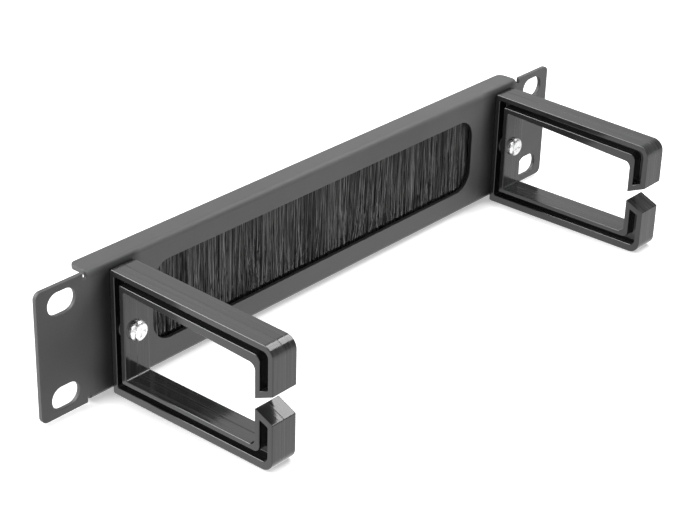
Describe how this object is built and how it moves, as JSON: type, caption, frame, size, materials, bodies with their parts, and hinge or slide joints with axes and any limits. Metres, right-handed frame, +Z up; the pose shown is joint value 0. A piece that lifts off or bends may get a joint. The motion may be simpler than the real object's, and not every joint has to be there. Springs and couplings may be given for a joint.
{
  "type": "rack brush strip panel",
  "caption": "Flat rack panel with slotted ears, a brush-filled cable opening and an open cable hook near each end.",
  "frame": {"origin": "middle of the four rack slots, on the back face of the ears", "axes": "+X along the panel to the right seen from the front, +Y into the rack, +Z up"},
  "size_m": [0.254, 0.0745, 0.0451],
  "materials": {
    "panel_paint": "matt powder coat",
    "clamp_paint": "matt powder coat",
    "galvanised": "galvanised",
    "bristle": "satin filaments",
    "hook_plastic": "semi-gloss moulding",
    "zinc": "bright zinc plate"
  },
  "bodies": {
    "root": {"panel": "panel_paint", "brush_clamp": "clamp_paint", "strip_channel": "galvanised", "core_wire": "galvanised", "bristles": "bristle", "hook_left": "hook_plastic", "hook_right": "hook_plastic", "hook_screws": "zinc", "hook_washers": "zinc", "hook_nuts": "zinc", "clamp_studs": "zinc", "clamp_washers": "zinc", "clamp_nuts": "zinc"}
  },
  "joints": []
}
